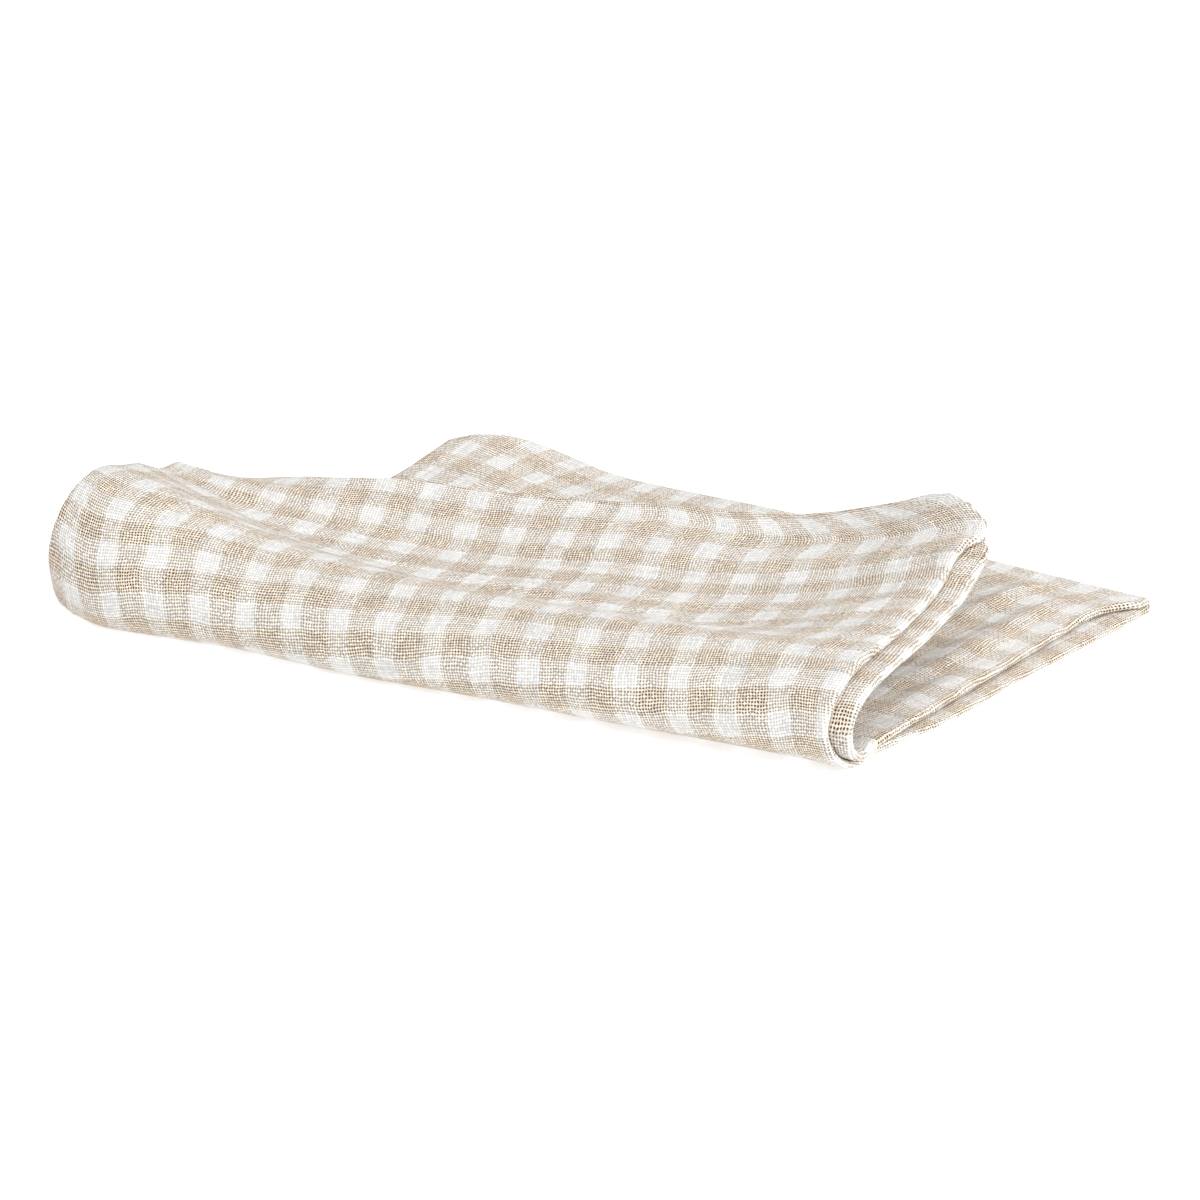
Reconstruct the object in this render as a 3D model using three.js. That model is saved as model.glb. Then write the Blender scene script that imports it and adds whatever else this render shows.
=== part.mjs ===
// A folded linen napkin, lying on a surface. Millimetres, +X along the front fold, +Y back, +Z up.
// The napkin is folded into a doubled strip, the strip's hems are turned in to meet, and the packet
// is folded once more over a fat, soft front roll. Seen from an end the cloth is one back-and-forth
// ribbon: from one hem it runs back along the lower pad, round the back fold, forward under it all,
// up over the roll, back along the top, round the top's back fold and forward and down inside the
// roll to the other hem.
import * as THREE from 'three';

// Cloth
const LAYER = 1.6; // a doubled layer, its two plies lying together
const GAP = 0.5; // air between two layers
const PITCH = LAYER + GAP;
const PAIR = PITCH + LAYER; // two layers and the air between them
const LINEN = 0xe2d8ca;

// Where the two hems meet inside the roll, as shares of the lower pad's depth behind the roll's foot
const HEMS = { roll: 0.025, pad: 0.045 };

// The cross section at places along the fold, from the left end to the right end.
// foot: where the cloth leaves the floor. front and bulge: place and height of its foremost line.
// crest and roll: place and height of the front ridge. trough and low: the valley behind it.
// back and lift: place and height of the top's back edge.
const SECTIONS = [
  { x: -125, foot: -60, front: -67, bulge: 15, crest: -46, roll: 31.5, trough: -12, low: 21, back: 10, lift: 9 },
  { x: -109, foot: -68, front: -72.5, bulge: 9, crest: -46, roll: 31, trough: -15, low: 18.5, back: 12, lift: 11 },
  { x: -91, foot: -67, front: -72, bulge: 8, crest: -47, roll: 26, trough: -13, low: 13.5, back: 14, lift: 15 },
  { x: -71, foot: -64, front: -71, bulge: 8, crest: -45, roll: 21, trough: -11, low: 10.5, back: 19, lift: 17 },
  { x: -36, foot: -65, front: -71, bulge: 8, crest: -41, roll: 19, trough: -7, low: 9, back: 27, lift: 16 },
  { x: -1, foot: -62, front: -70, bulge: 9, crest: -39, roll: 19, trough: -9, low: 9, back: 34, lift: 17 },
  { x: 34, foot: -59, front: -70, bulge: 9, crest: -41, roll: 20, trough: -11, low: 10, back: 41, lift: 18 },
  { x: 59, foot: -57, front: -69, bulge: 10, crest: -45, roll: 21, trough: -17, low: 13, back: 45, lift: 24 },
  { x: 75, foot: -56, front: -69, bulge: 11, crest: -49, roll: 22, trough: -20, low: 17, back: 44, lift: 30 },
  { x: 84, foot: -56, front: -69, bulge: 12, crest: -51, roll: 22, trough: -21, low: 19, back: 38, lift: 31 },
  { x: 91, foot: -56, front: -69, bulge: 12, crest: -51, roll: 22, trough: -21, low: 19, back: 31, lift: 30 },
];

// Where each layer ends, left and right: x at the front line, and its drift for each mm behind it.
// The packet was folded askew, so the lower layers run out past the top to the right.
const FRONT_LINE = -51;
const ENDS = {
  under: { left: -122, leftDrift: 0.36, right: 95.3, rightDrift: 0.28 },
  pad: { left: -119, leftDrift: 0.36, right: 96, rightDrift: 0.2 },
  top: { left: -124, leftDrift: -0.03, right: 91, rightDrift: -0.03 },
  lining: { left: -121, leftDrift: -0.03, right: 96, rightDrift: -0.05 },
};
const DRAW_IN = { from: -20, rate: 0.0016 }; // the top's right end draws in toward its back corner

// The lower pad's slanted back fold and its two rounded corners
const BACK = { y: 59.5, slope: 0.075, right: 125 };
const LEFT_CORNER = { share: 0.16, depth: 13 };
const TIP = { share: 0.03, depth: 0.8 };
const RISES = [ // where the lower pad's back stands off the floor
  { x: -72, y: 74, height: 11.5, reachX: 29, reachY: 26 },
  { x: 40, y: 68, height: 3, reachX: 80, reachY: 26 },
];

const BELLY = 0.6; // how full the top's climb from the valley to its back edge is

// Steps along each stretch of the ribbon, and along the fold
const STEPS = { pad: 10, fold: 8, heel: 7, brow: 9, top: 22, hem: 2 };
const STATIONS = 20;

const QUARTER_TURN = Math.PI / 2;
const mixed = (a, b, t) => a + (b - a) * t;
const eased = (t) => t * t * (3 - 2 * t);

// A smooth curve through the table: the section's sizes at x
function sectionAt(x) {
  const last = SECTIONS.length - 1;
  const place = Math.min(Math.max(x, SECTIONS[0].x), SECTIONS[last].x);
  let k = 0;
  while (k < last - 1 && place > SECTIONS[k + 1].x) k += 1;
  const before = SECTIONS[Math.max(k - 1, 0)];
  const from = SECTIONS[k];
  const to = SECTIONS[k + 1];
  const after = SECTIONS[Math.min(k + 2, last)];
  const span = to.x - from.x;
  const t = (place - from.x) / span;
  const sizes = {};
  for (const name of Object.keys(from)) {
    const slopeFrom = ((to[name] - before[name]) / (to.x - before.x)) * span;
    const slopeTo = ((after[name] - from[name]) / (after.x - from.x)) * span;
    const bend = (t ** 3 - 2 * t ** 2 + t) * slopeFrom + (t ** 3 - t ** 2) * slopeTo;
    sizes[name] = mixed(from[name], to[name], eased(t)) + bend;
  }
  return sizes;
}

// A layer's left and right end at y
function endsAt(layer, y) {
  const end = ENDS[layer];
  const behind = Math.max(0, y - FRONT_LINE);
  const drawn = layer === 'top' ? DRAW_IN.rate * Math.max(0, y - DRAW_IN.from) ** 2 : 0;
  return {
    left: end.left + end.leftDrift * behind,
    right: end.right + end.rightDrift * behind - drawn,
  };
}

// How far the lower pad stands off the floor
function rise(x, y) {
  let height = 0;
  for (const peak of RISES) {
    const across = (x - peak.x) / peak.reachX;
    const along = (y - peak.y) / peak.reachY;
    height += peak.height * Math.exp(-across * across - along * along);
  }
  return height;
}

// The y of the middle of the lower pad's back fold; share runs from the left end to the right end
function backFold(x, share) {
  const leftCorner = LEFT_CORNER.depth * Math.max(0, 1 - share / LEFT_CORNER.share) ** 2;
  const tip = TIP.depth * Math.max(0, 1 - (1 - share) / TIP.share) ** 2;
  return BACK.y + BACK.slope * (BACK.right - x) - leftCorner - tip - PAIR / 2;
}

// The height of the top's outer face at y
function topHeight(section, y) {
  if (y < section.trough) {
    return mixed(section.roll, section.low, eased((y - section.crest) / (section.trough - section.crest)));
  }
  const t = (y - section.trough) / (section.back - section.trough);
  return mixed(section.low, section.lift, t ** 2 * (1 + BELLY * (1 - t)));
}

// Each stretch of the section: a point at t of its length, a depth in from the outer face
const STRETCHES = {
  floor(section, t, depth, x, share) {
    const y = mixed(section.foot, backFold(x, share), t);
    return { y, z: depth + rise(x, y) };
  },
  heel(section, t, depth) {
    const angle = QUARTER_TURN * t;
    return {
      y: section.foot - (section.foot - section.front - depth) * Math.sin(angle),
      z: section.bulge - (section.bulge - depth) * Math.cos(angle),
    };
  },
  brow(section, t, depth) {
    const angle = QUARTER_TURN * t;
    return {
      y: section.crest - (section.crest - section.front - depth) * Math.cos(angle),
      z: section.bulge + (section.roll - section.bulge - depth) * Math.sin(angle),
    };
  },
  top(section, t, depth) {
    const y = mixed(section.crest, section.back - PAIR / 2, t);
    return { y, z: topHeight(section, y) - depth };
  },
};

// The ribbon's steps in order. Each has its stretch, its place on it, the depths of its two faces,
// the layer whose ends it follows and the layer it is turning into.
function ribbonSteps() {
  const outer = { faces: [0, LAYER] };
  const inner = { faces: [PAIR, PITCH] };
  const steps = [];
  const run = (stretch, count, from, to, side, layer, into = layer) => {
    for (let k = 0; k < count; k += 1) {
      const mix = k / count;
      steps.push({ stretch, t: mixed(from, to, mix), ...side, layer, into, mix });
    }
  };
  const turn = (stretch, layer, into) => {
    for (let k = 0; k < STEPS.fold; k += 1) {
      const mix = k / STEPS.fold;
      steps.push({ stretch, t: 1, angle: Math.PI * mix, layer, into, mix });
    }
  };
  run('floor', STEPS.pad, HEMS.pad, 1, inner, 'pad');
  turn('floor', 'pad', 'under');
  run('floor', STEPS.pad, 1, 0, outer, 'under');
  run('heel', STEPS.heel, 0, 1, outer, 'under', 'top');
  run('brow', STEPS.brow, 0, 1, outer, 'top');
  run('top', STEPS.top, 0, 1, outer, 'top');
  turn('top', 'top', 'lining');
  run('top', STEPS.top, 1, 0, inner, 'lining');
  run('brow', STEPS.brow, 1, 0, inner, 'lining');
  run('heel', STEPS.heel, 1, 0, inner, 'lining');
  run('floor', STEPS.hem, 0, HEMS.roll, inner, 'lining');
  return steps;
}

// The two face points of one step at a share of the way along the fold. The layer's ends depend on
// y and the section on x, so the pair is settled in a few passes.
function facePoints(step, share) {
  const passes = 4;
  let x = mixed(ENDS[step.layer].left, ENDS[step.layer].right, share);
  for (let pass = 0; pass < passes; pass += 1) {
    const { y } = STRETCHES[step.stretch](sectionAt(x), step.t, PAIR / 2, x, share);
    const ends = endsAt(step.layer, y);
    const next = endsAt(step.into, y);
    x = mixed(mixed(ends.left, next.left, step.mix), mixed(ends.right, next.right, step.mix), share);
  }
  const section = sectionAt(x);
  const stretch = STRETCHES[step.stretch];
  if (step.angle === undefined) {
    return step.faces.map((depth) => {
      const { y, z } = stretch(section, step.t, depth, x, share);
      return [x, y, z];
    });
  }
  const centre = stretch(section, step.t, PAIR / 2, x, share);
  return [PAIR / 2, GAP / 2].map((radius) => [
    x,
    centre.y + radius * Math.sin(step.angle),
    centre.z + radius * Math.cos(step.angle),
  ]);
}

// The closed cloth: at each station a loop goes along face A and back along face B, and the loops
// are joined, with a strip of quads over each end
function napkinGeometry() {
  const steps = ribbonSteps();
  const count = steps.length;
  const positions = [];
  for (let station = 0; station < STATIONS; station += 1) {
    const share = station / (STATIONS - 1);
    const pairs = steps.map((step) => facePoints(step, share));
    positions.push(...pairs.map((pair) => pair[0]), ...pairs.map((pair) => pair[1]).reverse());
  }
  const loop = 2 * count;
  const index = [];
  const quad = (a, b, c, d) => index.push(a, b, c, a, c, d);
  for (let station = 0; station < STATIONS - 1; station += 1) {
    const near = station * loop;
    for (let k = 0; k < loop; k += 1) {
      const next = (k + 1) % loop;
      quad(near + k, near + loop + k, near + loop + next, near + next);
    }
  }
  const lastLoop = (STATIONS - 1) * loop;
  for (let k = 0; k < count - 1; k += 1) {
    const faceB = loop - 1 - k;
    quad(k, k + 1, faceB - 1, faceB);
    quad(lastLoop + faceB, lastLoop + faceB - 1, lastLoop + k + 1, lastLoop + k);
  }
  const geometry = new THREE.BufferGeometry();
  geometry.setAttribute('position', new THREE.Float32BufferAttribute(positions.flat(), 3));
  geometry.setIndex(index);
  geometry.computeVertexNormals();
  return geometry;
}

// The origin is on the surface under the middle of the napkin
function standOnOrigin(geometry) {
  geometry.computeBoundingBox();
  const { min, max } = geometry.boundingBox;
  geometry.translate(-(min.x + max.x) / 2, -(min.y + max.y) / 2, -min.z);
  return geometry;
}

const cloth = new THREE.Mesh(
  standOnOrigin(napkinGeometry()),
  new THREE.MeshStandardMaterial({ color: LINEN, roughness: 0.92, metalness: 0 }),
);
cloth.name = 'napkin';

const napkin = new THREE.Group();
napkin.add(cloth);

export default napkin;
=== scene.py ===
# A folded linen napkin as one cloth of two plies, with its hems, creases and woven checks.
import math

import bpy
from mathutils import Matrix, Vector, noise


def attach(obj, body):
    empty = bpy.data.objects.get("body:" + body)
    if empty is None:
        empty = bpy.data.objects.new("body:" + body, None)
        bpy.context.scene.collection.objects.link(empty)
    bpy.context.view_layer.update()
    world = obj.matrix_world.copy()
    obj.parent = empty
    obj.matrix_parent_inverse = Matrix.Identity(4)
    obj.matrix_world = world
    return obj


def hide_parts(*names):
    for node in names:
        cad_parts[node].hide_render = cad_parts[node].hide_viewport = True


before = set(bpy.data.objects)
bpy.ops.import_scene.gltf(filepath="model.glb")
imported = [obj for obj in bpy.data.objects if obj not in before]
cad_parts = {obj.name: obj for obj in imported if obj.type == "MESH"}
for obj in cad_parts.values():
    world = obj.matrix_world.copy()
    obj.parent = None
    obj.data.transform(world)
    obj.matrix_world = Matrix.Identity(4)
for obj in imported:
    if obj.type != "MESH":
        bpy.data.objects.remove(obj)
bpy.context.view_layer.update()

MM = 0.001
CENTRE = Vector((-0.143, -0.254, 0))  # the middle of the folded napkin in the tables' coordinates, mm

# The folds, mm: a doubled strip whose section is one back-and-forth ribbon. In the tables x runs along
# the front fold to the right, y to the back and z up
LAYER = 1.6
GAP = 0.5
PAIR = LAYER + GAP + LAYER

# The section at places along the front fold. The roll has its foot on the floor, its foremost line at
# the height "bulge", and its crest at the height "roll". The trough behind it has the height "low". From
# the knee, a share of the way from the trough to the back, the flap rises to "lift" at its back edge
COLUMNS = ("x", "foot", "front", "bulge", "crest", "roll", "trough", "low", "back", "lift", "knee")
SECTIONS = [
    (-125, -60, -67, 15, -46, 31.5, -11, 20.0, 10, 9, 0.3),
    (-109, -68, -72.5, 9, -46, 31, -15, 18.5, 12, 12, 0.3),
    (-91, -67, -72, 8, -47, 26, -15, 13, 14, 15.5, 0.38),
    (-71, -64, -71, 8, -47, 21.3, -16, 9.8, 19, 17, 0.42),
    (-36, -65, -71, 8, -48, 18.9, -19, 7.9, 27, 16, 0.45),
    (-1, -62, -70, 9, -47, 18.7, -21, 8.8, 34, 17, 0.45),
    (34, -59, -70, 9, -46, 19.8, -19, 10.5, 41, 18, 0.45),
    (59, -57, -69, 10, -47, 21, -17, 14.2, 45, 24, 0.45),
    (75, -56, -69, 11, -50, 22, -14, 18.2, 44, 30, 0.45),
    (84, -56, -69, 12, -51, 22, -14, 20.2, 38, 30.3, 0.5),
    (91, -56, -69, 12, -51, 22, -14, 20.2, 31, 28.4, 0.5),
]
KNEE_ROUND = 0.1  # share of the flap's depth

# The layers' left and right ends at the front line, and how far they drift for each mm behind it
FRONT_LINE = -51
ENDS = {
    "under": {"left": -122, "left_drift": 0.36, "right": 95.3, "right_drift": 0.28},
    "pad": {"left": -119, "left_drift": 0.36, "right": 96, "right_drift": 0.2},
    "top": {"left": -122.8, "left_drift": -0.05, "right": 91, "right_drift": -0.03},
    "lining": {"left": -121, "left_drift": -0.03, "right": 96, "right_drift": -0.03},
}
# How the right ends curve: the top's end draws in and joins the lining's, both are rounded at the back,
# the pad's end reaches out to its tip, and the underside's bulges a little
DRAW_IN = {"from": -20, "rate": 0.0012}
BACK_CORNER = {"from": 22, "rate": 0.052, "join_from": 18, "join": 12}
PAD_CORNER = {"from": 35, "reach": 20, "out": 7.4}
UNDER_BULGE = {"y": -24, "reach": 18, "out": 2.4}

# The pad's back fold: its line, its two rounded corners as shares of its length, and where it stands up
BACK = {"y": 59.5, "slope": 0.075, "right": 125}
LEFT_CORNER = {"share": 0.16, "depth": 13}
TIP = {"share": 0.03, "depth": 0.8}
RISES = [
    {"x": -72, "y": 74, "height": 9.9, "reach_x": 26, "reach_y": 31},
    {"x": 25, "y": 68, "height": 2.9, "reach_x": 85, "reach_y": 26},
]

# The two plies of each layer, mm: thickness, and how far from the layer's face a ply's middle lies
PLY = 0.55
PLY_SET_IN = 0.3
PLY_SPREAD = LAYER - 2 * PLY_SET_IN
HEM_THICK = 0.85
HEM_DEPTH = 6.5
HEM_STEP = 0.9
EDGE_ROUND = 0.8  # how far the cloth's edge stands out, as a share of half its thickness
FLOOR_CLEARANCE = 0.02

# At the rounded fold at the right the plies stand apart, mm: ply A outward, ply B to the next layer
RIM_SWELL = {"top": 0.7, "lining": 0.7, "pad": 0.35, "under": 0.0}
RIM_SWELL_B = 0.18
RIM_REACH = 4.0
RIM_RADIUS = 0.85

# The cloth, mm: a ply's width from its left hem to the first fold at the right
WIDTH = 215.0

# Where the cloth's two ends lie, as shares of the way from the roll's foot to the back fold
HEMS = {"roll": 0.043, "pad": 0.05}
# The rows of the grid along the ribbon, from the hem on the pad to the hem inside the roll: the stretch
# of the section, steps, from and to along it, the side, the layer, and the layer that it runs into
RIBBON = [
    ("floor", 46, HEMS["pad"], 1, "inner", "pad", "pad"),
    ("floor", 8, 1, 1, "turn", "pad", "under"),
    ("floor", 20, 1, 0, "outer", "under", "under"),
    ("heel", 14, 0, 1, "outer", "under", "top"),
    ("brow", 26, 0, 1, "outer", "top", "top"),
    ("top", 84, 0, 1, "outer", "top", "top"),
    ("top", 12, 1, 1, "turn", "top", "lining"),
    ("top", 20, 1, 0, "inner", "lining", "lining"),
    ("brow", 9, 1, 0, "inner", "lining", "lining"),
    ("heel", 7, 1, 0, "inner", "lining", "lining"),
    ("floor", 3, 0, HEMS["roll"], "inner", "lining", "lining"),
]

# The columns of the grid across one ply, mm from its left hem: from, to, steps
PLY_A_STEPS = [(0, 5.6, 4), (5.6, 7.4, 4), (7.4, 209, 134), (209, 215, 5)]
PLY_B_STEPS = [(215, 207, 5), (207, 7.4, 24), (7.4, 5.6, 3), (5.6, 0, 3)]
RIM_STEPS = 8
X_ROUNDS = 3  # rounds in which a point's x is worked out

# Creases in the upper layer, mm: from and to in plan, height, and half width
CREASES = [
    (-130, -23, -113, -23, 2.6, 8.0),
    (-108, -10, -80, -8, 0.45, 3.0),
    (-112, -20, -70, -30, 0.5, 2.8),
    (-104, -8, -60, -14, 0.5, 2.4),
    (-90, -18, -50, -22, 0.4, 2.2),
    (-60, -15, 20, -17, 0.4, 2.0),
    (-30, -5, 50, -9, 0.35, 2.4),
    (-10, -24, 66, -27, 0.4, 2.2),
    (20, -17, 84, -20, 0.4, 2.2),
    (78, -44, 86, -16, 0.6, 2.4),
    (72, -16, 84, 3, 0.6, 2.6),
    (62, -24, 72, -2, 0.5, 2.6),
    (50, 12, 82, 8, 0.4, 3.0),
    (-20, 5, 28, 19, 0.25, 1.6),
]
PAD_CREASES = [
    (84, 21, 98, 58, 1.5, 2.8),
    (91, 2, 105, 44, 1.5, 2.6),
    (88, -18, 101, 20, 1.4, 2.6),
    (73, 36, 84, 64, 1.0, 3.0),
    (90, -36, 100, -8, 0.8, 2.6),
    (-60, 48, -10, 54, 0.4, 3.4),
]
CREASE_END = 12  # mm before and past a crease's end over which it fades
CREASE_REACH = 3  # half widths

# Soft unevenness: its height in mm, and its waves for each mm in x and in y, their seed and their share
RIPPLE_HEIGHT = 0.24
RIPPLE_WAVES = [(0.055, 0.088, 0.0, 1.0), (0.143, 0.22, 7.0, 0.5)]
RIPPLE_SEEDS = {"top": 3.0, "pad": 11.0}
BROW_FADE = 0.5  # share of the roll's brow over which the unevenness sets in
PAD_FADES = {"front": 5, "back": 9}  # how many times each fade would fit in the pad's depth

# The checks, in repeats. c counts the white stripes that run across the front fold, r those along it
REPEAT = 13.1  # mm
RIM_REPEATS = math.pi * RIM_RADIUS / REPEAT
SPAN = {"columns": 37.0, "rows": 50.0}  # what the cloth's texture square holds
FIRST = {"column": -1.5, "row": -22.5}
# On the pad: c at the left hem and over the width, a row's distance from the back fold, mm, and the
# repeat's length at either end, mm
PAD_COLUMNS = {"left": -0.7, "across": 17.0}
PAD_ROWS = {"row": -11.75, "from_back": 12.6, "left_repeat": 12.6, "right_repeat": 14.0}
# On the top: c at the left hem and over the width, its drift for each mm over the roll until it ends,
# r on the foremost line and over the width, and how much closer the rows lie at the right
TOP_COLUMNS = {"left": -0.5, "across": 16.5, "drift": 0.0053, "drift_ends": 150.0}
TOP_ROWS = {"left": 2.41, "across": -2.6, "closer": 0.04}
# How the checks lie to the side of even columns: mm over the roll from its foremost line, repeats
SIDEWAYS = [(0, 0.16), (12, -0.04), (26, -0.2), (48, 0.08), (72, 0.16), (92, 0.02), (112, -0.18)]
# Where the rows hang slack near the left, how far the lining's columns slide after its turn, and where
# its rows are level at the right, mm
LEFT_SLACK = {"share": 0.13, "reach": 0.1, "rows": 0.18}
LINING_SLIDE = {"columns": -0.17, "over": 20}
LEVEL_RIM = {"from": 190, "over": 14, "past_turn": 9}

# The hem's seam on the cloth's outer face, mm, and a stitch's rings: share of its length, share of its
# radius, and lift in radii
STITCH = {"from_edge": 5.6, "length": 2.3, "pitch": 2.9, "first": 0.4, "radius": 0.17, "clear": 10}
STITCH_RINGS = [(0.0, 0.25, -0.6), (0.22, 1.0, 0.55), (0.78, 1.0, 0.55), (1.0, 0.25, -0.6)]
STITCH_SIDES = 6

# Linen, linear colours
WHITE_YARN = (0.865, 0.848, 0.822, 1)
BEIGE_YARN = (0.85, 0.725, 0.59, 1)
LINEN = {"Roughness": 0.92, "Specular IOR Level": 0.2, "Sheen Weight": 0.12, "Sheen Roughness": 0.5}
WARPS = {"count": 18, "seed": 5.0}  # in a repeat, side by side along the front fold
WEFTS = {"count": 16, "seed": 81.0}  # in a repeat
HALF_STRIPE = 0.25  # repeats
# A yarn's slubs in a repeat, how far apart the yarns' patterns lie, and the yarns' own lightness
SLUBS = {"waves": 2.4, "apart": 3.37, "detail": 3.0, "own_light": 0.3}
# How the yarns wander: waves in a repeat, repeats to the side, and the seeds for c and for r
WANDER = [(0.9, 0.16, 0.0, 31.0), (7.0, 0.035, 5.0, 43.0)]
GAPS = {"waves": 34.0, "uneven": 0.4, "from": 0.12, "to": 0.50}
GAP_SHADE = {"white": 0.66, "beige": 0.05}  # painted shade in the small gaps between the yarns: what it leaves of the colour
GAP_POWER = 1.4  # how fast the gaps darken from an all-white crossing to a beige one
FLECK = {"white": 0.28, "beige": 0.75}  # how much single crossings differ in lightness
YARN_LIGHT = 0.48  # how much of a yarn's lightness shows
PATCHES = {"waves": 1.3, "amount": 0.10}
CROWN = {"base": 0.4, "round": 0.6}  # a yarn's height along it, where it dips and where it is on top
FLUFF = {"waves": 60.0, "detail": 3.0, "height": 0.25}
SLUB_HEIGHT = 0.35
# Fine relief: the height in metres and the strength
WEAVE_BUMP = (0.00014, 0.8)
CRINKLE_BUMP = (0.0009, 0.45)
STREAK_BUMP = (0.001, 0.5)
CRINKLE = {"waves": 3.2, "detail": 3.0}
# Fine creases in the hollow behind the roll and at the pad's right end: where they fade in and out, and
# their waves in a repeat along c and r
HOLLOW = {"front": (3.6, 4.8), "back": (7.4, 6.0), "waves": (0.42, 3.4), "detail": 3.0}
PAD_END = {"rows": (-9.0, -11.0), "columns": (11.5, 13.5), "waves": (2.4, 0.5), "detail": 2.0}

# Sewing thread, darker with painted shade where the twist's relief is low, with the twist's ridges: waves
# in a metre, and the height and strength of the relief
THREAD_PAINTED_SHADE = (0.62, 0.57, 0.50, 1)
THREAD_LIGHT = (0.86, 0.83, 0.78, 1)
THREAD = {"Roughness": 0.8, "Specular IOR Level": 0.25}
TWIST_WAVES = 2600.0
TWIST_BUMP = (0.00006, 0.7)

# The studio, metres and watts: a pale floor that glows a little, soft light, and the camera in degrees
FLOOR = {
    "Base Color": (0.62, 0.62, 0.62, 1),
    "Roughness": 0.9,
    "Specular IOR Level": 0.1,
    "Emission Color": (1.0, 1.0, 1.0, 1),
    "Emission Strength": 0.6,
}
FLOOR_REACH = 6.0
SKY = {"Color": (1.0, 1.0, 1.0, 1), "Strength": 0.64}
LAMPS = [
    {"name": "key", "place": (-0.4, -0.9, 1.9), "size": 1.2, "power": 8.3},
    {"name": "fill", "place": (1.5, -0.3, 1.2), "size": 1.2, "power": 27},
]
CAMERA = {"place": (0.38227, -0.75263, 0.36018), "down": 23, "round": 27, "far": 20.0}
LENS = 108.0  # mm, for a picture 36 mm wide
PICTURE_WIDTH = 36.0


def mixed(a, b, t):
    return a + (b - a) * t


def eased(t):
    return t * t * (3 - 2 * t)


def ramp(t):
    return eased(min(max(t, 0.0), 1.0))


def from_table(table, place):
    """A smooth value between a table's entries."""
    if place <= table[0][0]:
        return table[0][1]
    for (start, low), (end, high) in zip(table, table[1:]):
        if place < end:
            return mixed(low, high, eased((place - start) / (end - start)))
    return table[-1][1]


def unit(vector):
    return vector.normalized() if vector.length > 0 else Vector((0, 0, 1))


def section_at(x):
    """The section's sizes at x, on a smooth curve through the table."""
    last = len(SECTIONS) - 1
    place = min(max(x, SECTIONS[0][0]), SECTIONS[last][0])
    k = 0
    while k < last - 1 and place > SECTIONS[k + 1][0]:
        k += 1
    before, start = SECTIONS[max(k - 1, 0)], SECTIONS[k]
    end, after = SECTIONS[k + 1], SECTIONS[min(k + 2, last)]
    span = end[0] - start[0]
    t = (place - start[0]) / span
    out_bend = t ** 3 - 2 * t ** 2 + t
    in_bend = t ** 3 - t ** 2
    sizes = {}
    for i, name in enumerate(COLUMNS):
        slope_start = (end[i] - before[i]) / (end[0] - before[0]) * span
        slope_end = (after[i] - start[i]) / (after[0] - start[0]) * span
        sizes[name] = mixed(start[i], end[i], eased(t)) + out_bend * slope_start + in_bend * slope_end
    return sizes


def plain_ends(layer, y):
    end = ENDS[layer]
    behind = max(0.0, y - FRONT_LINE)
    return end["left"] + end["left_drift"] * behind, end["right"] + end["right_drift"] * behind


def ends_at(layer, y):
    """A layer's left and right ends at y, with its curves at the right."""
    left, right = plain_ends(layer, y)
    if layer == "pad":
        to_tip = (y - PAD_CORNER["from"]) / PAD_CORNER["reach"]
        right += PAD_CORNER["out"] * min(max(to_tip, 0.0), 1.0) ** 3
    if layer == "under":
        right += UNDER_BULGE["out"] * math.exp(-((y - UNDER_BULGE["y"]) / UNDER_BULGE["reach"]) ** 2)
    if layer == "top":
        right -= DRAW_IN["rate"] * max(0.0, y - DRAW_IN["from"]) ** 2
        joined = ramp((y - BACK_CORNER["join_from"]) / BACK_CORNER["join"])
        right = mixed(right, plain_ends("lining", y)[1], joined)
    if layer in ("top", "lining"):
        right -= BACK_CORNER["rate"] * max(0.0, y - BACK_CORNER["from"]) ** 2
    return left, right


def rise(x, y):
    """How far the lower pad stands off the floor."""
    height = 0.0
    for peak in RISES:
        across = (x - peak["x"]) / peak["reach_x"]
        along = (y - peak["y"]) / peak["reach_y"]
        height += peak["height"] * math.exp(-across * across - along * along)
    return height


def back_line(x):
    return BACK["y"] + BACK["slope"] * (BACK["right"] - x)


def back_fold(x, share):
    """The y at which the pad begins to turn at the back, with its rounded corners."""
    left_corner = LEFT_CORNER["depth"] * max(0.0, 1 - share / LEFT_CORNER["share"]) ** 2
    tip = TIP["depth"] * max(0.0, 1 - (1 - share) / TIP["share"]) ** 2
    return back_line(x) - left_corner - tip - PAIR / 2


def bend(past_knee):
    """A level line that turns into a slope at 0, rounded there."""
    return past_knee + math.sqrt(past_knee ** 2 + KNEE_ROUND ** 2)


def top_height(section, y):
    """The top's outer face behind the crest: down into the trough, and up the flap."""
    if y < section["trough"]:
        t = (y - section["crest"]) / (section["trough"] - section["crest"])
        return mixed(section["roll"], section["low"], eased(t))
    t = (y - section["trough"]) / (section["back"] - section["trough"])
    start, here, end = (bend(place - section["knee"]) for place in (0.0, t, 1.0))
    return mixed(section["low"], section["lift"], (here - start) / (end - start))


# Each stretch of the section: a point at t of its length, a depth in from the outer face
def floor_point(section, t, depth, x, share):
    y = mixed(section["foot"], back_fold(x, share), t)
    return y, depth + rise(x, y)


def heel_point(section, t, depth, x, share):
    angle = math.pi / 2 * t
    y = section["foot"] - (section["foot"] - section["front"] - depth) * math.sin(angle)
    return y, section["bulge"] - (section["bulge"] - depth) * math.cos(angle)


def brow_point(section, t, depth, x, share):
    angle = math.pi / 2 * t
    y = section["crest"] - (section["crest"] - section["front"] - depth) * math.cos(angle)
    return y, section["bulge"] + (section["roll"] - section["bulge"] - depth) * math.sin(angle)


def top_point(section, t, depth, x, share):
    y = mixed(section["crest"], section["back"] - PAIR / 2, t)
    return y, top_height(section, y) - depth


POINTS = {"floor": floor_point, "heel": heel_point, "brow": brow_point, "top": top_point}


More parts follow.
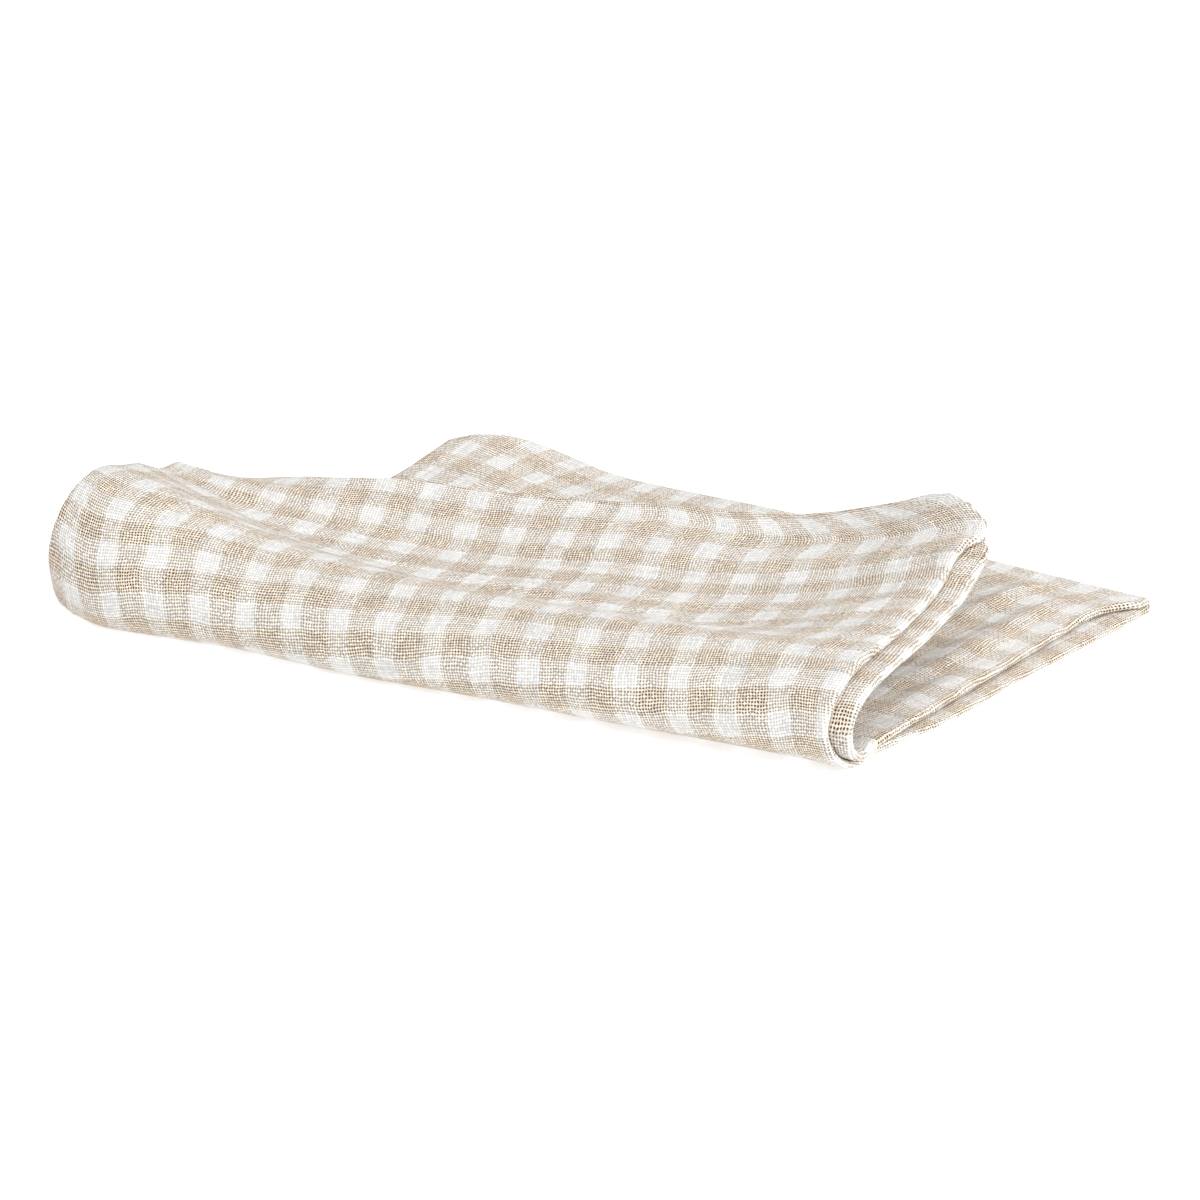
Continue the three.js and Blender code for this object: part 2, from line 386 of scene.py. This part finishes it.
def spread(steps):
    """The places that a table of from, to and steps gives, without the last."""
    places = []
    for start, end, count in steps:
        places += [mixed(start, end, k / count) for k in range(count)]
    return places


def grid_columns():
    """Across the cloth, for each column: its place on the ply, its share of the way from ply A to ply B,
    how far it stands out at the rim, and the cloth from A's hem to it.
    """
    columns = [{"place": w, "ply": 0.0, "out": 0.0, "cloth": w} for w in spread(PLY_A_STEPS)]
    for k in range(RIM_STEPS):
        angle = math.pi * k / RIM_STEPS
        ply = (1 - math.cos(angle)) / 2
        cloth = WIDTH + RIM_RADIUS * angle
        columns.append({"place": WIDTH, "ply": ply, "out": math.sin(angle), "cloth": cloth})
    turned = WIDTH + RIM_RADIUS * math.pi
    for w in spread(PLY_B_STEPS) + [0.0]:
        columns.append({"place": w, "ply": 1.0, "out": 0.0, "cloth": turned + WIDTH - w})
    return columns


def grid_rows():
    """Along the cloth: the ribbon's steps in order."""
    rows = []
    for stretch, count, start, end, side, layer, into in RIBBON:
        row = {"stretch": stretch, "side": side, "layer": layer, "into": into}
        for k in range(count):
            rows.append({**row, "t": mixed(start, end, k / count), "mix": k / count})
    rows.append({**rows[-1], "t": HEMS["roll"], "mix": 0.0})
    return rows


def crease_height(table, x, y):
    height = 0.0
    for x0, y0, x1, y1, rise_by, half_width in table:
        run_x, run_y = x1 - x0, y1 - y0
        run = math.hypot(run_x, run_y)
        along = ((x - x0) * run_x + (y - y0) * run_y) / run
        across = ((x - x0) * run_y - (y - y0) * run_x) / run
        before, past = along + CREASE_END, run + CREASE_END - along
        if abs(across) > CREASE_REACH * half_width or before < 0 or past < 0:
            continue
        fade = ramp(before / (2 * CREASE_END)) * ramp(past / (2 * CREASE_END))
        height += rise_by * fade * math.exp(-(across / half_width) ** 2)
    return height


def ripple(x, y, seed):
    height = 0.0
    for waves_x, waves_y, own_seed, share in RIPPLE_WAVES:
        height += share * noise.noise((x * waves_x, y * waves_y, seed + own_seed))
    return RIPPLE_HEIGHT * height


def with_relief(row, x, y, z):
    """Creases and unevenness: up on the top and the pad, outward on the roll's brow."""
    t = row["t"]
    if row["stretch"] == "top":
        return y, z + crease_height(CREASES, x, y) + ripple(x, y, RIPPLE_SEEDS["top"])
    if row["stretch"] == "brow":
        angle = math.pi / 2 * t
        out = crease_height(CREASES, x, y) * t + ripple(x, y, RIPPLE_SEEDS["top"]) * ramp(t / BROW_FADE)
        return y - out * math.cos(angle), z + out * math.sin(angle)
    if row["layer"] == "pad" and row["side"] == "inner":
        fade = ramp(t * PAD_FADES["front"]) * ramp((1 - t) * PAD_FADES["back"])
        return y, z + (crease_height(PAD_CREASES, x, y) + abs(ripple(x, y, RIPPLE_SEEDS["pad"]))) * fade
    return y, z


def rim_swell(column, row):
    near = math.exp(-((WIDTH - column["place"]) / RIM_REACH) ** 2)
    return mixed(RIM_SWELL[row["layer"]], RIM_SWELL[row["into"]], row["mix"]) * near, RIM_SWELL_B * near


def place_across(row, share):
    """A point's x. It depends on the layer's ends at its y, and its y on x, so it takes a few rounds."""
    inset = PLY_SPREAD / 2 + PLY / 2
    ends = ENDS[row["layer"]]
    x = mixed(ends["left"], ends["right"], share)
    for _ in range(X_ROUNDS):
        y = POINTS[row["stretch"]](section_at(x), row["t"], PAIR / 2, x, share)[0]
        left, right = ends_at(row["layer"], y)
        next_left, next_right = ends_at(row["into"], y)
        left, right = mixed(left, next_left, row["mix"]), mixed(right, next_right, row["mix"])
        x = mixed(left, right - inset, share)
    return x


def cloth_point(column, row):
    """A point of the middle of the ply, mm, in the tables' coordinates."""
    share = column["place"] / WIDTH
    x = place_across(row, share)
    section = section_at(x)
    place_on = POINTS[row["stretch"]]
    swell_a, swell_b = rim_swell(column, row)
    in_layer = PLY_SET_IN + PLY_SPREAD * column["ply"] - mixed(swell_a, -swell_b, column["ply"])
    if row["side"] == "turn":
        y, z = place_on(section, row["t"], PAIR / 2, x, share)
        radius = PAIR / 2 - in_layer
        y += radius * math.sin(math.pi * row["mix"])
        z += radius * math.cos(math.pi * row["mix"])
    else:
        depth = in_layer if row["side"] == "outer" else PAIR - in_layer
        y, z = place_on(section, row["t"], depth, x, share)
    y, z = with_relief(row, x, y, z)
    out = column["out"] * (PLY_SPREAD + swell_a + swell_b) / 2
    return Vector((x + out, y, z))


def section_arcs(line):
    """How far each point is along the ribbon, seen from its end."""
    arcs = [0.0]
    for a, b in zip(line, line[1:]):
        arcs.append(arcs[-1] + math.hypot(b.y - a.y, b.z - a.z))
    return arcs


def first_row(rows, key, value):
    return next(j for j, row in enumerate(rows) if row[key] == value)


def check_rows(place, line, rows):
    """The checks' row r at each of the ribbon's rows, for one column of ply A.

    On the pad it goes by the distance from the back fold, over the roll and the top by the length of
    the cloth, and on the hidden underside it runs evenly from the one to the other.
    """
    arcs = section_arcs(line)
    turn = first_row(rows, "side", "turn")
    under = first_row(rows, "layer", "under")
    front = first_row(rows, "stretch", "brow")
    share = place / WIDTH
    pad_repeat = mixed(PAD_ROWS["left_repeat"], PAD_ROWS["right_repeat"], share)
    slack = math.exp(-((share - LEFT_SLACK["share"]) / LEFT_SLACK["reach"]) ** 2)
    at_front = TOP_ROWS["left"] + TOP_ROWS["across"] * share - LEFT_SLACK["rows"] * slack
    closer = 1 + TOP_ROWS["closer"] * share
    values = []
    for point in line[:turn]:
        from_back = back_line(point.x) - PAIR / 2 - point.y
        values.append(PAD_ROWS["row"] - (from_back - PAD_ROWS["from_back"]) / pad_repeat)
    for arc in arcs[turn:under]:
        values.append(values[turn - 1] + (arc - arcs[turn - 1]) / REPEAT)
    for arc in arcs[under:front]:
        t = (arc - arcs[under - 1]) / (arcs[front] - arcs[under - 1])
        values.append(mixed(values[under - 1], at_front, t))
    for arc in arcs[front:]:
        values.append(at_front + (arc - arcs[front]) * closer / REPEAT)
    return values


def check_columns(place, line, rows):
    """The checks' column c at each of the ribbon's rows, for one column of ply A."""
    arcs = section_arcs(line)
    under = first_row(rows, "layer", "under")
    front = first_row(rows, "stretch", "brow")
    lining = first_row(rows, "layer", "lining")
    share = place / WIDTH
    on_pad = PAD_COLUMNS["left"] + PAD_COLUMNS["across"] * share
    evenly = TOP_COLUMNS["left"] + TOP_COLUMNS["across"] * share
    values = []
    for j, arc in enumerate(arcs):
        over_roll = max(arc - arcs[front], 0.0)
        drift = TOP_COLUMNS["drift"] * min(over_roll, TOP_COLUMNS["drift_ends"]) * (1 - share)
        slide = LINING_SLIDE["columns"] * ramp((arc - arcs[lining]) / LINING_SLIDE["over"])
        on_top = evenly + drift - from_table(SIDEWAYS, over_roll) + slide
        values.append(mixed(on_pad, on_top, ramp((j - under) / (front - under))))
    return values


def straight_across(table, here):
    """The checks' row at a distance from the front, from a table of distances and rows."""
    if here < table[0][0]:
        return table[0][1] - (table[0][0] - here) / REPEAT
    k = next((n for n in range(1, len(table)) if table[n][0] >= here), len(table) - 1)
    (start, low), (end, high) = table[k - 1], table[k]
    return mixed(low, high, (here - start) / (end - start))


def level_rim(columns, rows, points, checks_a):
    """At the lining's right end the checks' rows lie straight across, as they do on its last column."""
    last = max(checks_a)
    on_top = [j for j, row in enumerate(rows) if row["layer"] == "lining" and row["stretch"] == "top"]
    table = [(-points[j][last].y, checks_a[last]["r"][j]) for j in on_top]
    for i, checks in checks_a.items():
        beside = ramp((columns[i]["place"] - LEVEL_RIM["from"]) / LEVEL_RIM["over"])
        turned_at = points[on_top[0]][i].y
        for j in on_top:
            here = -points[j][i].y
            past_turn = ramp((turned_at + here) / LEVEL_RIM["past_turn"])
            level = straight_across(table, here)
            checks["r"][j] = mixed(checks["r"][j], level, beside * past_turn)
        for j in range(on_top[-1] + 1, len(rows)):
            checks["r"][j] = mixed(checks["r"][j], checks_a[last]["r"][j], beside)


def nearest(places, place):
    return min(range(len(places)), key=lambda k: abs(places[k] - place))


def checks_across(columns, checks_a, j):
    """The checks' place at each column of one row. Ply B's mirror ply A's at the rim."""
    last_a = max(checks_a)
    places = [columns[i]["place"] for i in range(last_a + 1)]
    rim = checks_a[last_a]["c"][j] + (WIDTH - places[last_a]) / REPEAT
    line = [(checks_a[i]["c"][j], checks_a[i]["r"][j]) for i in range(last_a + 1)]
    for column in columns[last_a + 1:]:
        k = nearest(places, column["place"])
        if column["ply"] < 1.0:
            c = rim + (column["cloth"] - WIDTH) / REPEAT
        else:
            slide = (column["place"] - places[k]) / REPEAT
            c = 2 * rim - checks_a[k]["c"][j] - slide + RIM_REPEATS
        line.append((c, checks_a[k]["r"][j]))
    return line


def cloth_grid():
    """The cloth's middle points, and the checks' place at each, by row and column."""
    columns, rows = grid_columns(), grid_rows()
    points = [[cloth_point(column, row) for column in columns] for row in rows]
    checks_a = {}
    for i, column in enumerate(columns):
        if column["ply"] == 0.0:
            line = [points[j][i] for j in range(len(rows))]
            place = column["place"]
            checks_a[i] = {"c": check_columns(place, line, rows), "r": check_rows(place, line, rows)}
    level_rim(columns, rows, points, checks_a)
    checks = [checks_across(columns, checks_a, j) for j in range(len(rows))]
    return columns, points, checks


def edge_distance(column, along, length):
    """How far a point of the cloth is from its nearest hemmed edge, mm."""
    far_edge = 2 * WIDTH + math.pi * RIM_RADIUS
    return min(column["cloth"], far_edge - column["cloth"], along, length - along)


def thickness(distance):
    return mixed(HEM_THICK, PLY, ramp((distance - HEM_DEPTH) / HEM_STEP))


def ways_at(points, j, i):
    """The ways across and along the cloth at a grid point, and its outer face's normal."""
    line = points[j]
    across = line[min(i + 1, len(line) - 1)] - line[max(i - 1, 0)]
    along = points[min(j + 1, len(points) - 1)][i] - points[max(j - 1, 0)][i]
    return across, along, unit(across.cross(along))


def way_out(points, j, i):
    """The way out of the cloth at a point of its edge."""
    across, along, _normal = ways_at(points, j, i)
    to_side = (i == len(points[j]) - 1) - (i == 0)
    to_end = (j == len(points) - 1) - (j == 0)
    return unit(unit(across) * to_side + unit(along) * to_end)


def cloth_lengths(points):
    """How far each row is along the cloth, in the middle of ply A."""
    middle = len(points[0]) // 4
    lengths = [0.0]
    for a, b in zip(points, points[1:]):
        lengths.append(lengths[-1] + (b[middle] - a[middle]).length)
    return lengths


def edge_ring(wide, long):
    """The grid's points once around its edge."""
    ring = list(range(wide - 1))
    ring += [j * wide + wide - 1 for j in range(long - 1)]
    ring += [(long - 1) * wide + i for i in range(wide - 1, 0, -1)]
    ring += [j * wide for j in range(long - 1, 0, -1)]
    return ring


def cloth_verts(columns, points, ring):
    """The points of the outer face, of the inner face, and of the edge between them."""
    wide, long = len(columns), len(points)
    lengths = cloth_lengths(points)
    outer, inner, edge = [], [], []
    for j in range(long):
        for i in range(wide):
            normal = ways_at(points, j, i)[2]
            half = thickness(edge_distance(columns[i], lengths[j], lengths[-1])) / 2
            middle = points[j][i] + Vector((0, 0, max(0.0, half + FLOOR_CLEARANCE - points[j][i].z)))
            outer.append(middle + normal * half)
            inner.append(middle - normal * half)
    for k in ring:
        reach = (outer[k] - inner[k]).length / 2 * EDGE_ROUND
        edge.append((outer[k] + inner[k]) / 2 + way_out(points, *divmod(k, wide)) * reach)
    return outer + inner + edge


def cloth_faces(wide, long, ring):
    count = wide * long
    faces = []
    for j in range(long - 1):
        for i in range(wide - 1):
            a = j * wide + i
            faces.append((a, a + 1, a + wide + 1, a + wide))
            faces.append((count + a, count + a + wide, count + a + wide + 1, count + a + 1))
    for n, k in enumerate(ring):
        n_after = (n + 1) % len(ring)
        after = ring[n_after]
        edge, edge_after = 2 * count + n, 2 * count + n_after
        faces.append((after, k, edge, edge_after))
        faces.append((edge_after, edge, count + k, count + after))
    return faces


def smooth_object(name, verts, faces):
    """A new object of points in the tables' coordinates, mm."""
    mesh = bpy.data.meshes.new(name)
    mesh.from_pydata([(point - CENTRE) * MM for point in verts], [], faces)
    mesh.polygons.foreach_set("use_smooth", [True] * len(mesh.polygons))
    mesh.update()
    made = bpy.data.objects.new(name, mesh)
    bpy.context.scene.collection.objects.link(made)
    return made


def lay_checks(mesh, places):
    """The checks' place at each vertex goes into the texture square."""
    layer = mesh.uv_layers.new(name="cloth")
    for loop in mesh.loops:
        c, r = places[loop.vertex_index]
        across = (c - FIRST["column"]) / SPAN["columns"]
        along = (r - FIRST["row"]) / SPAN["rows"]
        layer.data[loop.index].uv = (across, along)


def build_cloth(columns, points, checks):
    """The cloth as a closed thin body: an outer face, an inner face and a rounded edge."""
    wide, long = len(columns), len(points)
    ring = edge_ring(wide, long)
    verts = cloth_verts(columns, points, ring)
    made = smooth_object("napkin_cloth", verts, cloth_faces(wide, long, ring))
    places = [place for line in checks for place in line]
    lay_checks(made.data, places + places + [places[k] for k in ring])
    made.data.materials.append(linen())
    return made


def surface_at(points, j, i):
    """A point of the outer face at the hem, with its normal."""
    normal = ways_at(points, j, i)[2]
    return points[j][i] + normal * (HEM_THICK / 2), normal


def surface_in(points, i, way):
    """The outer face's point at the seam's distance from one end of the cloth."""
    j = 0 if way > 0 else len(points) - 1
    run = 0.0
    step = (points[j + way][i] - points[j][i]).length
    while run + step < STITCH["from_edge"]:
        run += step
        j += way
        step = (points[j + way][i] - points[j][i]).length
    t = (STITCH["from_edge"] - run) / step
    start, start_normal = surface_at(points, j, i)
    end, end_normal = surface_at(points, j + way, i)
    return mixed(start, end, t), unit(mixed(start_normal, end_normal, t))


def seam_lines(columns, points):
    """The seam's three visible runs: along the left hem, and along the cloth's two ends."""
    side = next(i for i, column in enumerate(columns) if column["place"] >= STITCH["from_edge"])
    stop = next(i for i, column in enumerate(columns) if column["place"] >= WIDTH - STITCH["clear"])
    left = [surface_at(points, j, side) for j in range(len(points))]
    first = [surface_in(points, i, 1) for i in range(side, stop)]
    last = [surface_in(points, i, -1) for i in range(side, stop)]
    return [left, first, last]


def along_line(line, reach):
    """The point, normal and way at a distance along a line of points."""
    run = 0.0
    for (a, normal_a), (b, normal_b) in zip(line, line[1:]):
        step = (b - a).length
        if run + step >= reach:
            t = (reach - run) / step
            return mixed(a, b, t), unit(mixed(normal_a, normal_b, t)), unit(b - a)
        run += step
    return line[-1][0], line[-1][1], unit(line[-1][0] - line[-2][0])


def add_stitch(line, start, verts, faces):
    """One stitch: a short thread that dips into the cloth at both ends."""
    first = len(verts)
    for share, thick, lift in STITCH_RINGS:
        place, normal, way = along_line(line, start + share * STITCH["length"])
        side = unit(way.cross(normal))
        radius = STITCH["radius"] * thick
        for k in range(STITCH_SIDES):
            angle = 2 * math.pi * k / STITCH_SIDES
            off = side * math.cos(angle) + normal * math.sin(angle)
            point = place + normal * (lift * STITCH["radius"]) + off * radius
            verts.append(Vector((point.x, point.y, max(point.z, FLOOR_CLEARANCE))))
    last = len(verts) - STITCH_SIDES
    for ring in range(first, last, STITCH_SIDES):
        for k in range(STITCH_SIDES):
            a = ring + k
            b = ring + (k + 1) % STITCH_SIDES
            faces.append((a, a + STITCH_SIDES, b + STITCH_SIDES, b))
    faces.append(tuple(first + k for k in range(STITCH_SIDES)))
    faces.append(tuple(last + k for k in reversed(range(STITCH_SIDES))))


def build_stitches(columns, points):
    verts, faces = [], []
    for line in seam_lines(columns, points):
        length = sum((b[0] - a[0]).length for a, b in zip(line, line[1:]))
        count = int((length - STITCH["length"]) / STITCH["pitch"])
        for n in range(count):
            add_stitch(line, (n + STITCH["first"]) * STITCH["pitch"], verts, faces)
    made = smooth_object("napkin_hem_stitches", verts, faces)
    made.data.materials.append(thread())
    return made


class Graph:
    """A new material with its shader's constants, and short names for its nodes."""

    def __init__(self, name, constants):
        self.material = bpy.data.materials.new(name)
        self.material.use_nodes = True
        self.tree = self.material.node_tree
        self.shader = self.tree.nodes["Principled BSDF"]
        for socket, value in constants.items():
            self.shader.inputs[socket].default_value = value

    def node(self, kind, **settings):
        made = self.tree.nodes.new(kind)
        for name, value in settings.items():
            setattr(made, name, value)
        return made

    def feed(self, socket, value):
        if isinstance(value, bpy.types.NodeSocket):
            self.tree.links.new(value, socket)
        else:
            socket.default_value = value

    def math(self, operation, *values):
        made = self.node("ShaderNodeMath", operation=operation)
        for k, value in enumerate(values):
            self.feed(made.inputs[k], value)
        return made.outputs[0]

    def centred(self, value):
        return self.math("SUBTRACT", value, 0.5)

    def by_share(self, share, low, high):
        return self.math("MULTIPLY_ADD", share, self.math("SUBTRACT", high, low), low)

    def vector(self, x, y):
        made = self.node("ShaderNodeCombineXYZ")
        self.feed(made.inputs[0], x)
        self.feed(made.inputs[1], y)
        return made.outputs[0]

    def noise(self, where, scale, detail=2.0):
        made = self.node("ShaderNodeTexNoise", noise_dimensions="2D")
        self.feed(made.inputs["Vector"], where)
        made.inputs["Scale"].default_value = scale
        made.inputs["Detail"].default_value = detail
        return made.outputs["Fac"]

    def stretched_noise(self, c, r, waves, detail):
        """Noise with its own waves in a repeat along c and along r."""
        place = self.vector(self.math("MULTIPLY", c, waves[0]), self.math("MULTIPLY", r, waves[1]))
        return self.noise(place, 1.0, detail)

    def ramped(self, value, low, high):
        made = self.node("ShaderNodeMapRange", interpolation_type="SMOOTHSTEP")
        for k, number in enumerate((value, low, high)):
            self.feed(made.inputs[k], number)
        return made.outputs[0]

    def blend(self, share, low, high):
        made = self.node("ShaderNodeMix", data_type="RGBA")
        self.feed(made.inputs["Factor"], share)
        self.feed(made.inputs["A"], low)
        self.feed(made.inputs["B"], high)
        return made.outputs["Result"]

    def bump(self, height, relief, normal=None):
        made = self.node("ShaderNodeBump")
        made.inputs["Distance"].default_value, made.inputs["Strength"].default_value = relief
        self.feed(made.inputs["Height"], height)
        if normal is not None:
            self.feed(made.inputs["Normal"], normal)
        return made.outputs[0]


def place_on_cloth(g):
    """The checks' column and row at a point of the cloth."""
    cloth_map = g.node("ShaderNodeUVMap", uv_map="cloth")
    parts = g.node("ShaderNodeSeparateXYZ")
    g.feed(parts.inputs[0], cloth_map.outputs[0])
    c = g.math("MULTIPLY_ADD", parts.outputs[0], SPAN["columns"], FIRST["column"])
    r = g.math("MULTIPLY_ADD", parts.outputs[1], SPAN["rows"], FIRST["row"])
    return c, r


def uneven(g, c, r, size, amount, seed):
    """How far a place on the cloth is moved, as yarns wander."""
    moved = g.vector(g.math("ADD", c, seed), r)
    return g.math("MULTIPLY", g.centred(g.noise(moved, size)), amount)


def wandered(g, c, r):
    """The place on the cloth with the yarns' wandering."""
    c_woven, r_woven = c, r
    for size, amount, c_seed, r_seed in WANDER:
        c_woven = g.math("ADD", c_woven, uneven(g, c, r, size, amount, c_seed))
        r_woven = g.math("ADD", r_woven, uneven(g, c, r, size, amount, r_seed))
    return c_woven, r_woven


def yarns(g, place, other, kind):
    """One set of yarns: number, distance from a yarn's middle, 0 to 1, whiteness and lightness."""
    count, seed = float(kind["count"]), kind["seed"]
    at = g.math("MULTIPLY", place, count)
    number = g.math("FLOOR", at)
    aside = g.math("ABSOLUTE", g.centred(g.math("SUBTRACT", at, number)))
    middle = g.math("DIVIDE", g.math("ADD", number, 0.5), count)
    from_white = g.math("ABSOLUTE", g.centred(g.math("FRACT", g.math("ADD", middle, 0.5))))
    own_pattern = g.math("MULTIPLY_ADD", number, SLUBS["apart"], seed)
    slub = g.noise(g.vector(own_pattern, g.math("MULTIPLY", other, SLUBS["waves"])), 1.0, SLUBS["detail"])
    own = g.node("ShaderNodeTexWhiteNoise", noise_dimensions="1D")
    g.feed(own.inputs["W"], g.math("ADD", number, seed))
    slub = g.math("SUBTRACT", slub, SLUBS["own_light"] / 2)
    return {
        "number": number,
        "from_middle": g.math("MULTIPLY", aside, 2.0),
        "white": g.math("LESS_THAN", from_white, HALF_STRIPE),
        "light": g.math("MULTIPLY_ADD", own.outputs[0], SLUBS["own_light"], slub),
    }


def crossing(g, warp, weft):
    """Plain weave: 1 where the warp lies over the weft, else 0."""
    turn = g.math("FRACT", g.math("MULTIPLY", g.math("ADD", warp["number"], weft["number"]), 0.5))
    return g.math("GREATER_THAN", turn, 0.25)


def gaps(g, c, r, warp, weft):
    """The small gaps between the yarns, 0 to 1, where shade is painted into the colour."""
    jitter = g.math("MULTIPLY", g.centred(g.noise(g.vector(c, r), GAPS["waves"])), GAPS["uneven"])
    between = g.math("MULTIPLY", warp["from_middle"], weft["from_middle"])
    return g.ramped(g.math("ADD", between, jitter), GAPS["from"], GAPS["to"])


def yarn_height(g, over, warp, weft):
    """The upper yarn's height: round across, and higher along it where it is on top."""
    round_warp = g.math("SUBTRACT", 1.0, g.math("POWER", warp["from_middle"], 2.0))
    round_weft = g.math("SUBTRACT", 1.0, g.math("POWER", weft["from_middle"], 2.0))
    along_warp = g.math("MULTIPLY_ADD", round_weft, CROWN["round"], CROWN["base"])
    along_weft = g.math("MULTIPLY_ADD", round_warp, CROWN["round"], CROWN["base"])
    warp_crown = g.math("MULTIPLY", round_warp, along_warp)
    weft_crown = g.math("MULTIPLY", round_weft, along_weft)
    return g.by_share(over, weft_crown, warp_crown)


def crossing_light(g, over, white, warp, weft):
    """The upper yarn's lightness, with a fleck of its own at each crossing."""
    light = g.by_share(over, weft["light"], warp["light"])
    fleck = g.node("ShaderNodeTexWhiteNoise", noise_dimensions="2D")
    g.feed(fleck.inputs["Vector"], g.vector(warp["number"], weft["number"]))
    fleck_size = g.by_share(white, FLECK["beige"], FLECK["white"])
    return g.math("MULTIPLY_ADD", g.centred(fleck.outputs[0]), fleck_size, light)


def linen_colour(g, c, r, white, light, gap, warp, weft):
    """The upper yarn's colour, lighter and darker along it and in soft patches, and darkened with painted
    shade in the gaps.
    """
    patches = g.centred(g.noise(g.vector(c, r), PATCHES["waves"]))
    own_shade = g.math("MULTIPLY_ADD", g.centred(light), YARN_LIGHT, 1.0)
    shade = g.math("ADD", own_shade, g.math("MULTIPLY", patches, PATCHES["amount"]))
    both_white = g.math("MULTIPLY", g.math("ADD", warp["white"], weft["white"]), 0.5)
    left = g.by_share(g.math("POWER", both_white, GAP_POWER), GAP_SHADE["beige"], GAP_SHADE["white"])
    # painted shade: the gaps between the yarns darken the colour, most of all in beige crossings
    gap_shade = g.math("SUBTRACT", 1.0, g.math("MULTIPLY", gap, g.math("SUBTRACT", 1.0, left)))
    tint = g.node("ShaderNodeVectorMath", operation="SCALE")
    g.feed(tint.inputs[0], g.blend(white, BEIGE_YARN, WHITE_YARN))
    g.feed(tint.inputs["Scale"], g.math("MULTIPLY", shade, gap_shade))
    return tint.outputs[0]


def streaks(g, c, r):
    """Fine creases: along the fold in the hollow behind the roll, and lengthwise at the pad's right end."""
    in_hollow = g.math("MULTIPLY", g.ramped(r, *HOLLOW["front"]), g.ramped(r, *HOLLOW["back"]))
    hollow = g.stretched_noise(c, r, HOLLOW["waves"], HOLLOW["detail"])
    at_end = g.math("MULTIPLY", g.ramped(r, *PAD_END["rows"]), g.ramped(c, *PAD_END["columns"]))
    end = g.stretched_noise(c, r, PAD_END["waves"], PAD_END["detail"])
    return g.math("ADD", g.math("MULTIPLY", in_hollow, hollow), g.math("MULTIPLY", at_end, end))


def linen_relief(g, c, r, crown, light):
    """The fine relief: yarns, slubs and fluff, soft crinkles, and streaks."""
    fluff = g.noise(g.vector(c, r), FLUFF["waves"], FLUFF["detail"])
    height = g.math("MULTIPLY_ADD", fluff, FLUFF["height"], crown)
    height = g.math("MULTIPLY_ADD", light, SLUB_HEIGHT, height)
    woven = g.bump(height, WEAVE_BUMP)
    crinkles = g.noise(g.vector(c, r), CRINKLE["waves"], CRINKLE["detail"])
    crinkled = g.bump(crinkles, CRINKLE_BUMP, woven)
    return g.bump(streaks(g, c, r), STREAK_BUMP, crinkled)


def linen():
    """Plain-weave linen with checks of white and beige yarns."""
    g = Graph("linen", LINEN)
    c, r = place_on_cloth(g)
    c_woven, r_woven = wandered(g, c, r)
    warp = yarns(g, c_woven, r, WARPS)
    weft = yarns(g, r_woven, c, WEFTS)
    over = crossing(g, warp, weft)
    white = g.by_share(over, weft["white"], warp["white"])
    light = crossing_light(g, over, white, warp, weft)
    gap = gaps(g, c, r, warp, weft)
    crown = yarn_height(g, over, warp, weft)
    g.feed(g.shader.inputs["Base Color"], linen_colour(g, c, r, white, light, gap, warp, weft))
    g.feed(g.shader.inputs["Normal"], linen_relief(g, c, r, crown, light))
    return g.material


def thread():
    """Sewing thread: off-white, with the twist's fine ridges and painted shade between them."""
    g = Graph("hem_thread", THREAD)
    twist = g.node("ShaderNodeTexNoise")
    g.feed(twist.inputs["Vector"], g.node("ShaderNodeTexCoord").outputs["Object"])
    twist.inputs["Scale"].default_value = TWIST_WAVES
    ridges = twist.outputs["Fac"]
    # painted shade: the thread is darker where the twist's relief is low
    g.feed(g.shader.inputs["Base Color"], g.blend(ridges, THREAD_PAINTED_SHADE, THREAD_LIGHT))
    g.feed(g.shader.inputs["Normal"], g.bump(ridges, TWIST_BUMP))
    return g.material


def build_floor():
    mesh = bpy.data.meshes.new("studio_floor")
    reach = FLOOR_REACH
    corners = [(-reach, -reach, 0), (reach, -reach, 0), (reach, reach, 0), (-reach, reach, 0)]
    mesh.from_pydata(corners, [], [(0, 1, 2, 3)])
    mesh.materials.append(Graph("studio_floor", FLOOR).material)
    ground = bpy.data.objects.new("studio_floor", mesh)
    bpy.context.scene.collection.objects.link(ground)


def add_lamp(lamp):
    data = bpy.data.lights.new(lamp["name"], "AREA")
    data.shape = "DISK"
    data.size = lamp["size"]
    data.energy = lamp["power"]
    made = bpy.data.objects.new(lamp["name"], data)
    made.location = lamp["place"]
    made.rotation_mode = "QUATERNION"
    made.rotation_quaternion = (-Vector(lamp["place"])).to_track_quat("-Z", "Y")
    bpy.context.scene.collection.objects.link(made)


def light_the_room():
    world = bpy.data.worlds.new("studio")
    world.use_nodes = True
    for socket, value in SKY.items():
        world.node_tree.nodes["Background"].inputs[socket].default_value = value
    bpy.context.scene.world = world
    for lamp in LAMPS:
        add_lamp(lamp)
    bpy.context.scene.view_settings.view_transform = "Standard"


def place_camera():
    data = bpy.data.cameras.new("camera")
    data.sensor_width = PICTURE_WIDTH
    data.lens = LENS
    data.clip_end = CAMERA["far"]
    camera = bpy.data.objects.new("camera", data)
    camera.location = CAMERA["place"]
    camera.rotation_euler = (math.radians(90 - CAMERA["down"]), 0, math.radians(CAMERA["round"]))
    bpy.context.scene.collection.objects.link(camera)
    bpy.context.scene.camera = camera


columns, points, checks = cloth_grid()
cloth = build_cloth(columns, points, checks)
stitches = build_stitches(columns, points)
for piece in (cloth, stitches):
    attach(piece, "root")
    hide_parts("napkin")
build_floor()
light_the_room()
place_camera()
